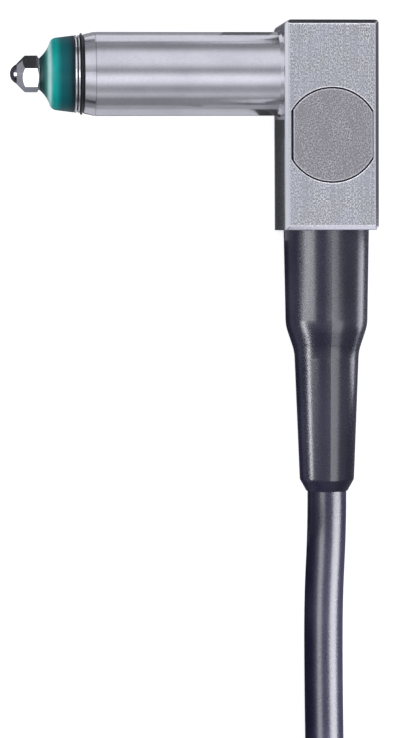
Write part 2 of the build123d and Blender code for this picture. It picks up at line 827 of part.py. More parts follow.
# Cable tie: a strap round the bundle, with its head on top
tie_plane = Plane((*coil_centre, 0), x_dir=(0, -1, 0), z_dir=(-1, 0, 0))
with BuildPart() as cable_tie:
    with BuildSketch(tie_plane):
        with Locations((coil_mean_radius, tie_wall + coil_height / 2)):
            RectangleRounded(
                coil_width + 2 * (tie_wall + tie_gap),
                coil_height + 2 * tie_wall + seat_fit,
                cable_radius + tie_wall,
            )
            RectangleRounded(
                coil_width + 2 * tie_gap,
                coil_height + seat_fit,
                cable_radius,
                mode=Mode.SUBTRACT,
            )
    extrude(amount=tie_width / 2, both=True)
    with BuildSketch(Plane.XY.offset(coil_height + tie_wall)):
        with Locations((coil_centre[0], coil_centre[1] - coil_mean_radius)):
            RectangleRounded(tie_head, tie_head, tie_wall)
    extrude(amount=tie_head_height)
cable_tie.part.label = "cable_tie"
export_step(cable_tie.part, "parts/cable_tie.step")

# Cable lead: out of the boot, down to the surface and into the coil's lowest outer turn
coil_floor = tie_wall + cable_radius
lead_points = [
    (0.0, boot_end, axis_height),
    (0.0, -44.0, axis_height),
    (-0.3, -51.0, 3.9),
    (-0.1, -60.0, 2.5),
    (0.1, -70.0, 1.95),
    (1.1, -81.0, 1.95),
    (2.9, -90.0, coil_floor),
]
with BuildPart() as cable_lead:
    lead_radii = widest_radii(lead_points)
    with BuildLine():
        lead_path = FilletPolyline(*lead_points, radius=lead_radii)
    with BuildSketch(Plane(lead_path @ 0, z_dir=lead_path % 0)):
        Circle(cable_radius)
    sweep(path=lead_path)
cable_lead.part.label = "cable_lead"
report_route("cable_lead", cable_lead.part, lead_path, lead_radii)
export_step(cable_lead.part, "parts/cable_lead.step")

# Cable tail: from the second layer of the coil's outer turns to the plug
tail_points = [
    (-51.3, -91.0, coil_floor + 2 * cable_radius),
    (-51.2, -84.5, 6.7),
    (plug_centre_x, -77.0, plug_height),
    (plug_centre_x, plug_rear, plug_height),
]
with BuildPart() as cable_tail:
    tail_radii = widest_radii(tail_points)
    with BuildLine():
        tail_path = FilletPolyline(*tail_points, radius=tail_radii)
    with BuildSketch(Plane(tail_path @ 0, z_dir=tail_path % 0)):
        Circle(cable_radius)
    sweep(path=tail_path)
cable_tail.part.label = "cable_tail"
report_route("cable_tail", cable_tail.part, tail_path, tail_radii)
export_step(cable_tail.part, "parts/cable_tail.step")

# Plug boot: a tapered sleeve on the cable, with a flange inside the plug's body
with BuildPart() as plug_boot:
    with BuildSketch(plug_profile):
        Polygon(
            (plug_rear, 0),
            (plug_rear, plug_boot_rear_radius),
            (plug_boot_front, plug_boot_front_radius),
            (plug_boot_front + plug_body_wall + face_gap, plug_boot_front_radius),
            (plug_boot_front + plug_body_wall + face_gap, plug_boot_flange_radius),
            (plug_boot_front + plug_body_wall + face_gap + plug_boot_flange, plug_boot_flange_radius),
            (plug_boot_front + plug_body_wall + face_gap + plug_boot_flange, 0),
            align=None,
        )
    revolve(axis=plug_axis)
plug_boot.part.label = "plug_boot"
export_step(plug_boot.part, "parts/plug_boot.step")

# Plug body: a grooved grip sleeve, closed at the rear but for the boot's hole
with BuildPart() as plug_body:
    with BuildSketch(across_plug(plug_boot_front)):
        Circle(plug_body_radius)
    extrude(amount=plug_body_length)
    chamfer(plug_body.edges().filter_by(GeomType.CIRCLE), plug_body_edge)
    for groove in range(plug_grooves):
        groove_middle = plug_boot_front + plug_body_length / 2
        groove_y = groove_middle + (groove - (plug_grooves - 1) / 2) * plug_groove_pitch
        with BuildSketch(across_plug(groove_y - plug_groove_width / 2)):
            ring_sketch(plug_body_radius + plug_groove_depth, plug_body_radius - plug_groove_depth)
        extrude(amount=plug_groove_width, mode=Mode.SUBTRACT)
    with BuildSketch(across_plug(plug_boot_front)):
        Circle(plug_boot_front_radius + seat_fit)
    extrude(amount=plug_body_wall, mode=Mode.SUBTRACT)
    with BuildSketch(across_plug(plug_boot_front + plug_body_wall)):
        Circle(plug_shell_radius - plug_shell_wall)
    extrude(amount=plug_body_length - plug_body_wall, mode=Mode.SUBTRACT)
    with BuildSketch(across_plug(plug_shell_rear - face_gap)):
        Circle(plug_shell_radius - plug_shell_step + seat_fit)
    extrude(amount=plug_shell_insert + face_gap, mode=Mode.SUBTRACT)
plug_body.part.label = "plug_body"
export_step(plug_body.part, "parts/plug_body.step")

# Plug shell: the metal skirt round the pins, with its key pressed in as a groove
with BuildPart() as plug_shell:
    with BuildSketch(across_plug(plug_shell_rear)):
        ring_sketch(plug_shell_radius - plug_shell_step, plug_shell_radius - plug_shell_wall)
    extrude(amount=plug_shell_insert)
    with BuildSketch(across_plug(plug_body_front)):
        ring_sketch(plug_shell_radius, plug_shell_radius - plug_shell_wall)
    extrude(amount=plug_shell_reach)
    with BuildSketch(across_plug(plug_body_front)):
        with Locations((0, -plug_shell_radius)):
            Rectangle(plug_key_width, 2 * plug_key_depth)
    extrude(amount=plug_shell_reach, mode=Mode.SUBTRACT)
plug_shell.part.label = "plug_shell"
export_step(plug_shell.part, "parts/plug_shell.step")

# Plug insert: the plastic block that holds the pins
with BuildPart() as plug_insert:
    with BuildSketch(across_plug(plug_insert_rear)):
        Circle(plug_shell_radius - plug_shell_wall - running_fit)
        with PolarLocations(plug_pin_circle, plug_pins_count, angular_range=180, endpoint=True):
            Circle(plug_pin_radius + running_fit, mode=Mode.SUBTRACT)
    extrude(amount=plug_insert_length)
plug_insert.part.label = "plug_insert"
export_step(plug_insert.part, "parts/plug_insert.step")

# Plug pins
with BuildPart() as plug_pins:
    with BuildSketch(across_plug(plug_insert_rear)):
        with PolarLocations(plug_pin_circle, plug_pins_count, angular_range=180, endpoint=True):
            Circle(plug_pin_radius)
    extrude(amount=plug_pin_front - plug_insert_rear)
    pin_tips = plug_pins.faces().group_by(Axis.Y)[-1].edges()
    chamfer(pin_tips, plug_pin_chamfer)
plug_pins.part.label = "plug_pins"
export_step(plug_pins.part, "parts/plug_pins.step")
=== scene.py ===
"""Looks of the linear gauge probe: camera, cable, surfaces, small parts, floor and light, all in metres."""

import json
from math import cos, pi, radians, sin

import bpy
from mathutils import Euler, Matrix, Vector


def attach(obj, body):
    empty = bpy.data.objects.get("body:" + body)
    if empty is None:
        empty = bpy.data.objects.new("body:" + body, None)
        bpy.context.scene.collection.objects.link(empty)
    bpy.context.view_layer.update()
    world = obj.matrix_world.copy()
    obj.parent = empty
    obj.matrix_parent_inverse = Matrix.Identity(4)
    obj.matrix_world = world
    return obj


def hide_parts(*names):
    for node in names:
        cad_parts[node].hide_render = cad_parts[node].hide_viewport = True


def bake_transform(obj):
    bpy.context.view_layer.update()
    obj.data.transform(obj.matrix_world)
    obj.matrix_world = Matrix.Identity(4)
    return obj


MM = 0.001

# Camera: its place and turn, and its focal length where the sensor's length takes the picture's height
CAMERA_PLACE = Vector((-34.514, -14.389, 255.033)) * MM
CAMERA_TURN = (radians(-3.14), radians(-5.084), radians(-0.301))
CAMERA_LENS = 127.49
SENSOR = 36.0

# Cable, its control points in millimetres: the lead to the coil, then the coil, then the tail to the plug
CABLE_RADIUS = 1.9 * MM
LEAD_POINTS = [
    (0.0, -40.2, 4.5),
    (0.0, -44.0, 4.5),
    (-0.3, -51.0, 3.9),
    (-0.1, -60.0, 2.5),
    (0.1, -70.0, 1.95),
    (1.1, -81.0, 1.95),
    (2.9, -90.0, 2.5),
]
TAIL_POINTS = [
    (-51.3, -91.0, 6.3),
    (-51.2, -84.5, 6.7),
    (-51.0, -77.0, 7.5),
    (-51.0, -70.0, 7.5),
]
COIL_CENTRE = (-24.0, -99.0)
COIL_MEAN_RADIUS = 21.6
COIL_FLOOR = 2.5
COIL_POINTS_PER_TURN = 24
# The first slot is counted from here, so that every change of slot falls at the coil's -Y side
COIL_START = 0.75
# The part of a turn in which the cable passes from one slot to the next
SLOT_CHANGE = 0.12
MIDDLE_COLUMN = 1.5
# The turns in the order they are wound, as (column, row): column 0 is the innermost, row 0 the lowest
COIL_SLOTS = [
    (3, 0), (2, 0), (1, 0), (0, 0),
    (0, 1), (0, 2), (0, 3),
    (1, 3), (1, 2), (1, 1),
    (2, 1), (2, 2), (2, 3),
    (3, 3), (3, 2), (3, 1),
]
COIL_TURNS = len(COIL_SLOTS) - 1.5


def make_camera():
    """The camera at the photograph's own place."""
    camera = bpy.data.objects.new("camera", bpy.data.cameras.new("camera"))
    camera.data.sensor_width = SENSOR
    camera.data.lens = CAMERA_LENS
    camera.data.clip_start = 0.01
    camera.data.clip_end = 10.0
    camera.location = CAMERA_PLACE
    camera.rotation_euler = Euler(CAMERA_TURN, "XYZ")
    bpy.context.collection.objects.link(camera)
    bpy.context.scene.camera = camera


def slot_place(turns):
    """Column and row after so many turns: a whole number is where one slot gives way to the next."""
    nearest = round(turns)
    change = min(max((turns - nearest) / SLOT_CHANGE + 0.5, 0), 1)
    change = change * change * (3 - 2 * change)
    before, after = COIL_SLOTS[max(nearest - 1, 0)], COIL_SLOTS[min(nearest, len(COIL_SLOTS) - 1)]
    return [a + (b - a) * change for a, b in zip(before, after)]


def coil_points():
    """Control points of the put-away turns, which change their slots at the coil's -Y side.

    The line touches the runs between its points at their middles, so the points stand a little outwards.
    """
    step = 2 * pi / COIL_POINTS_PER_TURN
    outward = 1 / cos(step / 2)
    diameter = 2 * CABLE_RADIUS / MM
    points = []
    for i in range(round(COIL_TURNS * COIL_POINTS_PER_TURN) + 1):
        turned = i * step
        column, row = slot_place(turned / (2 * pi) + COIL_START)
        radius = (COIL_MEAN_RADIUS + (column - MIDDLE_COLUMN) * diameter) * outward
        x = COIL_CENTRE[0] + radius * cos(turned)
        y = COIL_CENTRE[1] - radius * sin(turned)
        points.append((x, y, COIL_FLOOR + row * diameter))
    return points


def curve_length(curve_object):
    """Length of the curve's own line, without its thickness."""
    bare = curve_object.copy()
    bare.data = curve_object.data.copy()
    bare.data.bevel_depth = 0
    mesh = bpy.data.meshes.new_from_object(bare)
    places = [v.co for v in mesh.vertices]
    bpy.data.objects.remove(bare)
    return sum((b - a).length for a, b in zip(places, places[1:]))


def make_cable(material):
    """The whole cable as one smooth cord, from the boot to the plug."""
    points = LEAD_POINTS + coil_points() + TAIL_POINTS
    curve = bpy.data.curves.new("cable", "CURVE")
    curve.dimensions = "3D"
    curve.resolution_u = 6
    curve.bevel_depth = CABLE_RADIUS
    curve.bevel_resolution = 8
    curve.use_fill_caps = True
    spline = curve.splines.new("NURBS")
    spline.points.add(len(points) - 1)
    for target, point in zip(spline.points, points):
        target.co = (*(c * MM for c in point), 1)
    spline.order_u = 3
    spline.use_endpoint_u = True
    curve.materials.append(material)
    cable = bpy.data.objects.new("cable", curve)
    bpy.context.collection.objects.link(cable)
    bpy.context.view_layer.update()
    length = curve_length(cable)
    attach(cable, "housing")
    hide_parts("cable_lead", "cable_coil", "cable_tail")


# Bellows, in millimetres along the stem's axis and out from it, and in degrees
STEM_HEIGHT = 4.5
LIP_FRONT = -27.52
LIP_RADIUS = 1.52
LIP_BORE = 1.36
FLARE_SLOPE = 39.8
FLARE_TURN = 32.0
FLARE_RADIUS = 3.13
SHOULDER_TURN = -64.8
SHOULDER_RADIUS = 0.73
ROOT_FRONT = -24.3
ROOT_RADIUS = 3.65
SKIN = 0.25
CUFF_RADIUS = 3.45
CUFF_BORE = 3.215
CUFF_REAR = -23.72
BOSS_FRONT = -24.64
# Corners of the skin's two ends, as (place along the stem, radius)
LIP_CORNERS = [
    (LIP_FRONT + 0.28, LIP_BORE), (LIP_FRONT + 0.05, LIP_BORE), (LIP_FRONT - 0.02, LIP_RADIUS - 0.08),
]
CUFF_CORNERS = [
    (ROOT_FRONT + 0.05, ROOT_RADIUS - 0.03), (ROOT_FRONT + 0.09, CUFF_RADIUS + 0.06),
    (ROOT_FRONT + 0.14, CUFF_RADIUS), (CUFF_REAR - 0.03, CUFF_RADIUS), (CUFF_REAR, CUFF_RADIUS - 0.03),
    (CUFF_REAR, CUFF_BORE), (BOSS_FRONT, CUFF_BORE), (BOSS_FRONT, CUFF_BORE + 0.12),
]
# How many points draw each arc of the skin, and its run to the root
ARC_STEPS = 14
ROOT_STEPS = 6
# The inside starts so many points behind the outside, because the lip's bore takes their place
LIP_POINTS = 3
BELLOWS_SEGMENTS = 160


def arc(start, slope, radius, turn):
    """Points of an arc from start, heading along the slope. A positive turn bends outwards."""
    side = 1 if turn > 0 else -1
    centre_x = start[0] - side * radius * sin(radians(slope))
    centre_r = start[1] + side * radius * cos(radians(slope))
    points = []
    for i in range(1, ARC_STEPS + 1):
        angle = radians(slope + turn * i / ARC_STEPS)
        points.append((centre_x + side * radius * sin(angle), centre_r - side * radius * cos(angle)))
    return points


def inset(points, depth):
    """The same line, moved towards the axis by the depth."""
    moved = []
    for i, (x, r) in enumerate(points):
        before, after = points[max(i - 1, 0)], points[min(i + 1, len(points) - 1)]
        run = Vector((after[0] - before[0], after[1] - before[1])).normalized()
        moved.append((x + run.y * depth, r - run.x * depth))
    return moved


def mesh_object(name, vertices, faces, material):
    """A smooth mesh piece from points in millimetres."""
    mesh = bpy.data.meshes.new(name)
    mesh.from_pydata([tuple(c * MM for c in v) for v in vertices], [], faces)
    mesh.materials.append(material)
    mesh.shade_smooth()
    piece = bpy.data.objects.new(name, mesh)
    bpy.context.collection.objects.link(piece)
    return piece


def turned_piece(name, profile, material):
    """A closed profile of (place along the stem, radius) turned round the stem's axis."""
    vertices, faces = [], []
    for i in range(BELLOWS_SEGMENTS):
        turn = 2 * pi * i / BELLOWS_SEGMENTS
        vertices += [(x, r * sin(turn), STEM_HEIGHT + r * cos(turn)) for x, r in profile]
    count = len(profile)
    for i in range(BELLOWS_SEGMENTS):
        here, there = i * count, (i + 1) % BELLOWS_SEGMENTS * count
        for j in range(count):
            k = (j + 1) % count
            faces.append((here + j, here + k, there + k, there + j))
    return mesh_object(name, vertices, faces, material)


def make_bellows(material):
    """The rubber skin: a lip on the plunger, a flare, a round shoulder and a cuff under the wire rings."""
    outside = [(LIP_FRONT, LIP_RADIUS)]
    outside += arc(outside[-1], FLARE_SLOPE, FLARE_RADIUS, FLARE_TURN)
    outside += arc(outside[-1], FLARE_SLOPE + FLARE_TURN, SHOULDER_RADIUS, SHOULDER_TURN)
    last, root = outside[-1], (ROOT_FRONT, ROOT_RADIUS)
    for i in range(1, ROOT_STEPS + 1):
        share = i / ROOT_STEPS
        outside.append(tuple(a + (b - a) * share for a, b in zip(last, root)))
    inside = inset(outside, SKIN)[LIP_POINTS:]
    profile = LIP_CORNERS + outside + CUFF_CORNERS + inside[::-1]
    bellows = turned_piece("bellows_skin", profile, material)
    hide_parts("bellows")
    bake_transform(bellows)


def make_spring():
    """The return spring's coils, copied as they stand from the CAD node."""
    coils = bpy.data.objects.new("spring_coils", frame["nodes"]["return_spring"].data.copy())
    bpy.context.collection.objects.link(coils)
    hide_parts("return_spring")
    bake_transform(coils)


# Materials: how wide edges are rounded and carry a painted highlight, how deep the marks of a finish, and how
# often edges are sampled
EDGE_WIDTH = 0.2 * MM
GRIND_DEPTH = 0.03 * MM
GRAIN_DEPTH = 0.02 * MM
FINE_DEPTH = 0.01 * MM
MOULD_GRAIN = 0.15 * MM
EDGE_SAMPLES = 8


def fill_ramp(ramp, stops):
    """Puts the stops, each a position and a colour, on a new colour ramp."""
    elements = ramp.color_ramp.elements
    elements.remove(elements[1])
    elements[0].position = stops[0][0]
    elements[0].color = (*stops[0][1], 1)
    for position, colour in stops[1:]:
        elements.new(position).color = (*colour, 1)


class Surface:
    """A material's node tree, with short calls for the nodes that the finishes below are made of.

    The colour and roughness that it starts with are plain ones, for what doesn't read the nodes. A noise lies
    mostly between 0.3 and 0.7, and its scale counts grains in a metre along each axis.
    """

    def __init__(self, name, colour, metallic=0.0, roughness=0.5, **settings):
        self.material = bpy.data.materials.new(name)
        self.material.use_nodes = True
        self.nodes = self.material.node_tree.nodes
        self.links = self.material.node_tree.links
        self.shader = self.nodes["Principled BSDF"]
        self.shader.inputs["Base Color"].default_value = (*colour, 1)
        self.shader.inputs["Metallic"].default_value = metallic
        self.shader.inputs["Roughness"].default_value = roughness
        for socket, value in settings.items():
            self.shader.inputs[socket.replace("_", " ")].default_value = value
        self.place = self.nodes.new("ShaderNodeTexCoord").outputs["Object"]
        self.heights = []

    def link(self, source, target):
        self.links.new(source, target)

    def stretched(self, scale):
        """The place on the object in units of 1/scale, one scale for each axis."""
        mapping = self.nodes.new("ShaderNodeMapping")
        mapping.inputs["Scale"].default_value = scale
        self.link(self.place, mapping.inputs["Vector"])
        return mapping.outputs["Vector"]

    def noise(self, scale, detail):
        node = self.nodes.new("ShaderNodeTexNoise")
        node.inputs["Scale"].default_value = 1.0
        node.inputs["Detail"].default_value = detail
        self.link(self.stretched(scale), node.inputs["Vector"])
        return node.outputs["Fac"]

    def remap(self, value, low, high, to_low, to_high):
        """Brings the range from low to high over to another, and stops at its ends."""
        node = self.nodes.new("ShaderNodeMapRange")
        for socket, number in zip(("From Min", "From Max", "To Min", "To Max"), (low, high, to_low, to_high)):
            node.inputs[socket].default_value = number
        self.link(value, node.inputs["Value"])
        return node.outputs["Result"]

    def split(self, vector):
        node = self.nodes.new("ShaderNodeSeparateXYZ")
        self.link(vector, node.inputs["Vector"])
        return node.outputs

    def math(self, operation, *values):
        """A sum on sockets or plain numbers."""
        node = self.nodes.new("ShaderNodeMath")
        node.operation = operation
        for socket, value in zip(node.inputs, values):
            if isinstance(value, (int, float)):
                socket.default_value = value
            else:
                self.link(value, socket)
        return node.outputs["Value"]

    def blend(self, factor, first, second):
        """Mixes two colours, each a plain colour or a socket."""
        node = self.nodes.new("ShaderNodeMix")
        node.data_type = "RGBA"
        self.link(factor, node.inputs["Factor"])
        for socket, colour in zip((node.inputs[6], node.inputs[7]), (first, second)):
            if isinstance(colour, tuple):
                socket.default_value = (*colour, 1)
            else:
                self.link(colour, socket)
        return node.outputs[2]

    def colour(self, socket):
        self.link(socket, self.shader.inputs["Base Color"])

    def roughness(self, socket):
        self.link(socket, self.shader.inputs["Roughness"])

    def painted_gap_shade(self, colour, reach, dark):
        """Paints shade into the colour: darker where the surface lies deep in a gap or a corner, where shadow
        falls.
        """
        open_sky = self.nodes.new("ShaderNodeAmbientOcclusion")
        open_sky.samples = EDGE_SAMPLES
        open_sky.inputs["Distance"].default_value = reach
        return self.blend(self.remap(open_sky.outputs["AO"], 0.25, 0.75, 0, 1), dark, colour)

    def rounded(self, width):
        """The surface's direction, with its sharp edges rounded over the width."""
        bevel = self.nodes.new("ShaderNodeBevel")
        bevel.samples = EDGE_SAMPLES
        bevel.inputs["Radius"].default_value = width
        return bevel.outputs["Normal"]

    def true_normal(self):
        """The direction of the surface itself, without bump or smoothing."""
        return self.nodes.new("ShaderNodeNewGeometry").outputs["True Normal"]

    def painted_edge_highlight(self):
        """1 along the sharp edges, 0 from the edge's width inwards: the mask of a painted highlight along the
        edges.
        """
        agreement = self.nodes.new("ShaderNodeVectorMath")
        agreement.operation = "DOT_PRODUCT"
        self.link(self.rounded(EDGE_WIDTH), agreement.inputs[0])
        self.link(self.true_normal(), agreement.inputs[1])
        return self.remap(agreement.outputs["Value"], 0.96, 0.998, 1, 0)

    def bump(self, height, strength, distance, edge=0.0):
        """Adds relief on what is there. The first relief can start from edges rounded over a width."""
        node = self.nodes.new("ShaderNodeBump")
        if isinstance(strength, float):
            node.inputs["Strength"].default_value = strength
        else:
            self.link(strength, node.inputs["Strength"])
        node.inputs["Distance"].default_value = distance
        self.link(height, node.inputs["Height"])
        if self.heights:
            self.link(self.heights[-1], node.inputs["Normal"])
        elif edge:
            self.link(self.rounded(edge), node.inputs["Normal"])
        self.heights.append(node.outputs["Normal"])
        self.link(node.outputs["Normal"], self.shader.inputs["Normal"])


def ground_block():
    """Fine-ground steel: grey speckle with faint streaks along the block, smoother on sides and edges, with a
    painted highlight along its edges and painted shade in its gaps and corners.
    """
    s = Surface("ground_block", (0.72, 0.73, 0.75), 1.0, 0.36)
    upright = s.math("ABSOLUTE", s.split(s.true_normal())["Z"])
    face = s.remap(upright, 0.8, 0.95, 0, 1)
    speckle = s.noise((10500, 5600, 7000), 1)
    streaks = s.noise((7000, 130, 3000), 2)
    cloud = s.noise((350, 350, 350), 2)
    grey = s.blend(s.remap(speckle, 0.42, 0.58, 0, 1), (0.3, 0.31, 0.315), (1.0, 1.0, 0.99))
    grey = s.blend(s.remap(streaks, 0.4, 0.6, 0, 0.6), grey, (0.46, 0.47, 0.47))
    grey = s.blend(s.remap(cloud, 0.4, 0.65, 0, 0.25), grey, (0.62, 0.69, 0.76))
    grey = s.blend(face, (0.6, 0.61, 0.64), grey)
    # Painted highlight: white along the sharp edges
    grey = s.blend(s.painted_edge_highlight(), grey, (1.0, 1.0, 1.0))
    # Painted shade: nearly black deep in gaps and corners
    s.colour(s.painted_gap_shade(grey, 0.5 * MM, (0.02, 0.025, 0.03)))
    s.roughness(s.math("MULTIPLY", s.remap(speckle, 0.3, 0.7, 0.42, 0.3), s.remap(face, 0, 1, 0.4, 1)))
    s.bump(speckle, s.remap(face, 0, 1, 0.05, 0.5), GRIND_DEPTH, edge=EDGE_WIDTH)
    s.bump(streaks, s.remap(face, 0, 1, 0.05, 0.45), GRIND_DEPTH)
    return s.material


def ground_cover():
    """The cover's finish: a little darker and warmer, ground slantwise, with a painted highlight along its
    edges and painted shade in its gaps and corners.
    """
    s = Surface("ground_cover", (0.56, 0.55, 0.57), 1.0, 0.38)
    turned = s.nodes.new("ShaderNodeMapping")
    turned.inputs["Rotation"].default_value = (0, 0, radians(-20))
    s.link(s.place, turned.inputs["Vector"])
    s.place = turned.outputs["Vector"]
    speckle = s.noise((10500, 6600, 7000), 1)
    streaks = s.noise((6500, 280, 3000), 2)
    grey = s.blend(s.remap(speckle, 0.42, 0.58, 0, 1), (0.22, 0.215, 0.22), (0.72, 0.71, 0.71))
    grey = s.blend(s.remap(streaks, 0.35, 0.65, 0, 0.75), grey, (0.36, 0.35, 0.36))
    # Painted highlight: nearly white along the sharp edges
    grey = s.blend(s.painted_edge_highlight(), grey, (0.95, 0.94, 0.95))
    # Painted shade: nearly black deep in gaps and corners
    s.colour(s.painted_gap_shade(grey, 0.4 * MM, (0.02, 0.02, 0.024)))
    s.roughness(s.remap(speckle, 0.3, 0.7, 0.44, 0.32))
    s.bump(speckle, 0.5, GRIND_DEPTH, edge=0.06 * MM)
    s.bump(streaks, 0.5, GRIND_DEPTH)
    return s.material


def ground_stem():
    """Cylindrically ground steel: nearly a mirror, with fine marks round the stem."""
    s = Surface("ground_stem", (0.74, 0.735, 0.76), 1.0, 0.13)
    marks = s.noise((14000, 900, 900), 2)
    cloud = s.noise((300, 500, 500), 2)
    grain = s.noise((4000, 9000, 9000), 1)
    steel = s.blend(s.remap(cloud, 0.35, 0.7, 0, 1), (0.76, 0.755, 0.77), (0.69, 0.69, 0.71))
    s.colour(s.blend(s.remap(grain, 0.45, 0.7, 0, 0.16), steel, (0.48, 0.49, 0.51)))
    s.roughness(s.remap(marks, 0.3, 0.7, 0.11, 0.2))
    s.bump(marks, 0.1, FINE_DEPTH)
    return s.material


def turned_steel(name, colour, roughness):
    """Turned or drawn steel, with fine marks and a little unevenness."""
    s = Surface(name, colour, 1.0, roughness)
    marks = s.noise((9000, 9000, 9000), 2)
    darker = tuple(0.82 * c for c in colour)
    s.colour(s.blend(s.remap(marks, 0.35, 0.65, 0, 1), darker, colour))
    s.roughness(s.remap(marks, 0.3, 0.7, roughness * 0.8, roughness * 1.3))
    s.bump(marks, 0.12, FINE_DEPTH)
    return s.material


def plain_metal(name, colour, roughness):
    """Metal with a soft cloud of tone and a fine grain."""
    s = Surface(name, colour, 1.0, roughness)
    grain = s.noise((5000, 5000, 5000), 3)
    cloud = s.noise((250, 250, 250), 2)
    darker = tuple(0.88 * c for c in colour)
    s.colour(s.blend(s.remap(cloud, 0.35, 0.65, 0, 1), darker, colour))
    s.roughness(s.remap(grain, 0.3, 0.7, roughness * 0.8, roughness * 1.25))
    s.bump(grain, 0.15, FINE_DEPTH)
    return s.material


def moulded(name, colour, roughness, specular=0.5):
    """Rubber or plastic from a mould: fine grain, and tone that drifts a little."""
    s = Surface(name, colour, 0.0, roughness, Specular_IOR_Level=specular)
    grain = s.noise((1 / MOULD_GRAIN, 1 / MOULD_GRAIN, 1 / MOULD_GRAIN), 2)
    cloud = s.noise((200, 200, 200), 2)
    lighter = tuple(min(1, 1.25 * c + 0.004) for c in colour)
    s.colour(s.blend(s.remap(cloud, 0.35, 0.65, 0, 1), colour, lighter))
    s.roughness(s.remap(grain, 0.3, 0.7, roughness * 0.85, roughness * 1.2))
    s.bump(grain, 0.2, GRAIN_DEPTH)
    return s.material


def tie_plastic():
    """Glossy nylon, with the strap's fine cross ribs."""
    s = Surface("tie_plastic", (0.02, 0.02, 0.022), 0.0, 0.35)
    ribs = s.nodes.new("ShaderNodeTexWave")
    ribs.bands_direction = "DIAGONAL"
    ribs.inputs["Scale"].default_value = 1.0
    s.link(s.stretched((0, 420, 420)), ribs.inputs["Vector"])
    grain = s.noise((4000, 4000, 4000), 2)
    s.colour(s.blend(s.remap(grain, 0.35, 0.65, 0, 1), (0.016, 0.016, 0.018), (0.028, 0.028, 0.03)))
    s.roughness(s.remap(grain, 0.3, 0.7, 0.3, 0.42))
    s.bump(ribs.outputs["Fac"], 0.5, 0.12 * MM, edge=0.15 * MM)
    s.bump(grain, 0.15, GRAIN_DEPTH)
    return s.material


# The bellows' green rubber, with painted light and shade by place along the stem in millimetres: painted
# shade darkest at its lip, a pale painted highlight over the shoulder, painted light behind it and painted
# shade towards the rings
SKIN_PAINTED_LIGHT = [
    (-27.6, (0.003, 0.0194, 0.0173)), (-27.1, (0.004, 0.0485, 0.0428)), (-26.85, (0.06, 0.213, 0.191)),
    (-26.7, (0.36, 0.64, 0.582)), (-26.52, (0.42, 0.698, 0.637)), (-26.4, (0.1, 0.407, 0.364)),
    (-26.28, (0.003, 0.349, 0.309)), (-25.95, (0.003, 0.369, 0.319)), (-25.7, (0.003, 0.223, 0.2)),
    (-25.45, (0.003, 0.121, 0.132)), (-25.0, (0.004, 0.097, 0.109)), (-24.7, (0.006, 0.0679, 0.0774)),
    (-24.4, (0.008, 0.0194, 0.0237)),
]


def green_skin():
    """Green rubber with a soft gloss and faint clouds, its colour along the stem carrying painted light and
    shade.
    """
    s = Surface("green_skin", (0.003, 0.22, 0.2), 0.0, 0.36, Specular_IOR_Level=0.2)
    first, last = SKIN_PAINTED_LIGHT[0][0], SKIN_PAINTED_LIGHT[-1][0]
    ramp = s.nodes.new("ShaderNodeValToRGB")
    fill_ramp(ramp, [((place - first) / (last - first), tone) for place, tone in SKIN_PAINTED_LIGHT])
    s.link(s.remap(s.split(s.place)["X"], first * MM, last * MM, 0, 1), ramp.inputs["Fac"])
    cloud = s.noise((900, 500, 500), 2)
    grain = s.noise((6000, 6000, 6000), 2)
    s.colour(s.blend(s.remap(cloud, 0.4, 0.7, 0, 0.25), ramp.outputs["Color"], (0.004, 0.1, 0.1)))
    s.roughness(s.remap(grain, 0.3, 0.7, 0.32, 0.42))
    s.bump(cloud, 0.05, 0.05 * MM)
    s.bump(grain, 0.1, FINE_DEPTH)
    return s.material


def make_materials():
    """One finish for each of the record's material slots."""
    return {
        "housing_metal": ground_block(),
        "cover_metal": ground_cover(),
        "stem_steel": ground_stem(),
        "tip_steel": turned_steel("tip_steel", (0.95, 0.95, 0.96), 0.1),
        "ball_steel": turned_steel("ball_steel", (0.16, 0.165, 0.18), 0.05),
        "wire_steel": turned_steel("wire_steel", (0.92, 0.92, 0.92), 0.1),
        "hardened_steel": turned_steel("hardened_steel", (0.55, 0.55, 0.57), 0.25),
        "green_rubber": green_skin(),
        "black_rubber": moulded("black_rubber", (0.012, 0.012, 0.013), 0.35),
        "boot_rubber": moulded("boot_rubber", (0.004, 0.0038, 0.012), 0.26, 0.4),
        "cable_jacket": moulded("cable_jacket", (0.005, 0.0045, 0.014), 0.3, 0.42),
        "brass": plain_metal("brass", (0.72, 0.55, 0.28), 0.3),
        "copper_wire": plain_metal("copper_wire", (0.65, 0.32, 0.16), 0.3),
        "ferrite": moulded("ferrite", (0.05, 0.05, 0.055), 0.6),
        "bobbin_plastic": moulded("bobbin_plastic", (0.7, 0.66, 0.55), 0.45),
        "lead_insulation": moulded("lead_insulation", (0.5, 0.12, 0.08), 0.45),
        "board_green": moulded("board_green", (0.02, 0.2, 0.09), 0.3),
        "gold_contact": plain_metal("gold_contact", (0.83, 0.62, 0.28), 0.2),
        "tie_plastic": tie_plastic(),
        "plug_metal": plain_metal("plug_metal", (0.62, 0.62, 0.63), 0.3),
        "shell_nickel": plain_metal("shell_nickel", (0.7, 0.69, 0.66), 0.2),
        "insert_plastic": moulded("insert_plastic", (0.03, 0.03, 0.03), 0.45),
    }


def dress_nodes(materials):
    """Gives every CAD node the finish of its slot."""
    for part in frame["record"]["subparts"]:
        mesh = frame["nodes"][part["node"]].data
        mesh.materials.clear()
        mesh.materials.append(materials[part["material_slot"]])


# Floor: how wide it is, where it lies, how much it glows for the camera and its tone for all other rays
FLOOR_SIZE = 4
FLOOR_PLACE = (0, -0.05, -0.02 * MM)
FLOOR_GLOW = 0.75
FLOOR_TONE = (0.42, 0.42, 0.44, 1)
# What the camera sees beyond the floor
BACKDROP_TONE = (0.9, 0.9, 0.9, 1)

